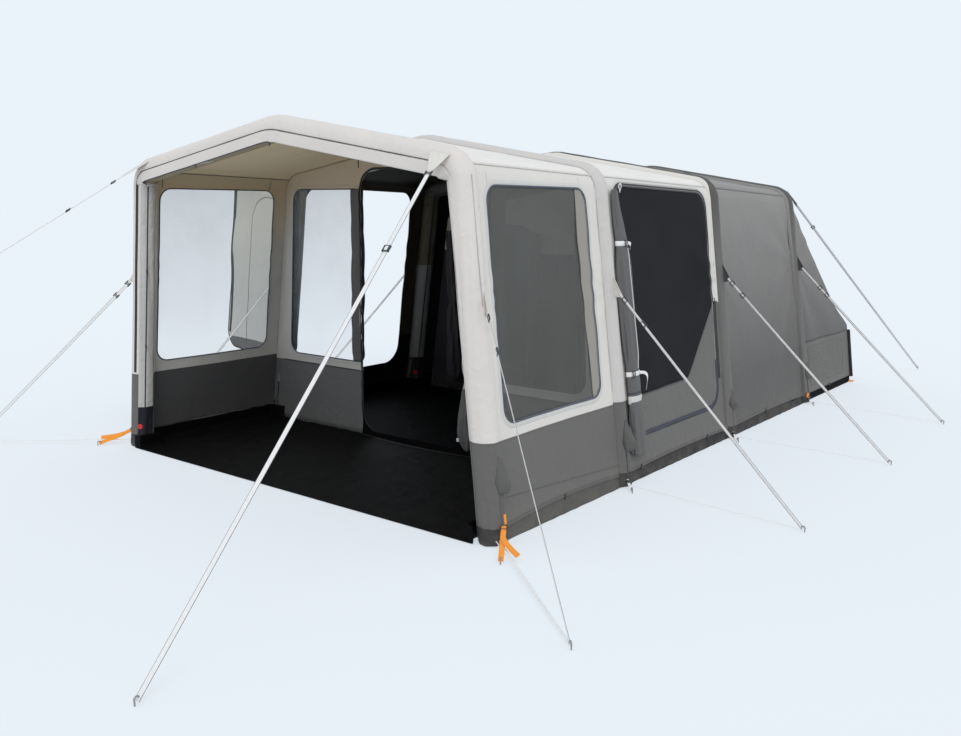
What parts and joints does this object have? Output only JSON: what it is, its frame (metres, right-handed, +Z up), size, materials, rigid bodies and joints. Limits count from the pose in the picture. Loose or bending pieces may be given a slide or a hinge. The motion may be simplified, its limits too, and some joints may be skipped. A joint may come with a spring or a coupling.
{
  "type": "inflatable tunnel awning",
  "caption": "Inflatable tunnel awning on curved air beams, with an open front porch, mesh side door, partition, bedroom inner tent, sloping rear and guy lines.",
  "frame": {"origin": "on the ground under the front arch, midway between its two feet", "axes": "+X to the right seen from the front, +Y from the front arch to the rear, +Z up"},
  "size_m": [6.2875, 9.5455, 2.2348],
  "materials": {
    "beam_film": "airtight film tube",
    "black_sheet": "woven coated groundsheet",
    "buckle_plastic": "moulded buckle plastic",
    "clear_film": "clear tinted window film",
    "dark_cloth": "dark breathable inner cloth",
    "grey_cloth": "coated polyester cloth, warm grey",
    "light_cloth": "coated polyester cloth, pale sand",
    "mesh_cloth": "fine insect mesh",
    "orange_webbing": "orange webbing",
    "valve_plastic": "red moulded cap",
    "webbing": "reflective pale webbing"
  },
  "bodies": {
    "tent": {"air_beam_1": "beam_film", "air_beam_2": "beam_film", "air_beam_3": "beam_film", "air_beam_4": "beam_film", "bedroom_roof": "grey_cloth", "bedroom_wall_left": "grey_cloth", "bedroom_wall_right": "grey_cloth", "foot_strap_left": "orange_webbing", "foot_strap_right": "orange_webbing", "front_valance": "light_cloth", "guy_arch1_left": "webbing", "guy_arch1_right": "webbing", "guy_arch2_left": "webbing", "guy_arch2_right": "webbing", "guy_arch3_left": "webbing", "guy_arch3_right": "webbing", "guy_arch4_left": "webbing", "guy_arch4_right": "webbing", "guy_corner_left": "webbing", "guy_corner_right": "webbing", "guy_rear_left": "webbing", "guy_rear_right": "webbing", "inner_tent_canopy": "dark_cloth", "inner_tent_floor": "black_sheet", "inner_tent_front": "dark_cloth", "living_groundsheet": "black_sheet", "living_roof": "light_cloth", "living_wall_left": "light_cloth", "living_wall_right": "light_cloth", "partition_door_roll": "light_cloth", "partition_wall": "light_cloth", "partition_window_left": "clear_film", "partition_window_right": "clear_film", "porch_groundsheet": "black_sheet", "porch_roof": "light_cloth", "porch_wall_left": "light_cloth", "porch_wall_right": "light_cloth", "porch_window_left": "clear_film", "porch_window_right": "clear_film", "rear_fly": "grey_cloth", "rear_low_wall": "grey_cloth", "roll_strap_lower": "webbing", "roll_strap_upper": "webbing", "side_door_roll": "grey_cloth", "sleeve_1": "light_cloth", "sleeve_2": "light_cloth", "sleeve_3": "grey_cloth", "sleeve_4": "grey_cloth"},
    "side_door": {"side_door_mesh": "mesh_cloth"},
    "left_door": {"left_door_panel": "light_cloth"},
    "front_zip": {"front_zip_pull": "buckle_plastic"},
    "side_door_zip": {"side_door_zip_pull": "buckle_plastic"},
    "valve_1": {"valve_cap_1": "valve_plastic"},
    "valve_2": {"valve_cap_2": "valve_plastic"},
    "valve_3": {"valve_cap_3": "valve_plastic"},
    "valve_4": {"valve_cap_4": "valve_plastic"},
    "adjuster_corner": {"adjuster_corner_right": "buckle_plastic"},
    "adjuster_arch1": {"adjuster_arch1_right": "buckle_plastic"},
    "adjuster_arch2": {"adjuster_arch2_right": "buckle_plastic"}
  },
  "joints": [
    {"name": "side_door_swing", "type": "hinge", "parent": "tent", "child": "side_door", "pos_m": [1.60265, 1.5309, 0.275], "axis": [-0.1314, 0, 0.9913], "range_deg": [0, 75]},
    {"name": "left_door_swing", "type": "hinge", "parent": "tent", "child": "left_door", "pos_m": [-1.60265, 1.5309, 0.275], "axis": [0.1314, 0, 0.9913], "range_deg": [-78, 4]},
    {"name": "front_zip_slide", "type": "slide", "parent": "tent", "child": "front_zip", "axis": [0.1167, 0, 0.9932], "range_m": [-0.9, 0.4]},
    {"name": "side_door_zip_slide", "type": "slide", "parent": "tent", "child": "side_door_zip", "axis": [-0.1314, 0, 0.9913], "range_m": [-0.7, 0.65]},
    {"name": "valve_cap_1_turn", "type": "hinge", "parent": "tent", "child": "valve_1", "pos_m": [-1.53011, 0.03356, 0.154], "axis": [0.7023, -0.7071, -0.0825], "range_deg": [0, 90]},
    {"name": "valve_cap_2_turn", "type": "hinge", "parent": "tent", "child": "valve_2", "pos_m": [-1.5278, 1.34856, 0.15324], "axis": [0.701, -0.7071, -0.0929], "range_deg": [0, 90]},
    {"name": "valve_cap_3_turn", "type": "hinge", "parent": "tent", "child": "valve_3", "pos_m": [-1.5278, 2.96856, 0.15324], "axis": [0.701, -0.7071, -0.0929], "range_deg": [0, 90]},
    {"name": "valve_cap_4_turn", "type": "hinge", "parent": "tent", "child": "valve_4", "pos_m": [-1.52436, 4.63856, 0.15212], "axis": [0.6988, -0.7071, -0.1083], "range_deg": [0, 90]},
    {"name": "adjuster_corner_slide", "type": "slide", "parent": "tent", "child": "adjuster_corner", "axis": [0.1087, -0.7065, -0.6993], "range_m": [-0.15, 0.25]},
    {"name": "adjuster_arch1_slide", "type": "slide", "parent": "tent", "child": "adjuster_arch1", "axis": [0.5775, -0.4271, -0.6958], "range_m": [-0.1, 0.1]},
    {"name": "adjuster_arch2_slide", "type": "slide", "parent": "tent", "child": "adjuster_arch2", "axis": [0.7218, -0.0761, -0.6879], "range_m": [-0.1, 0.1]}
  ]
}
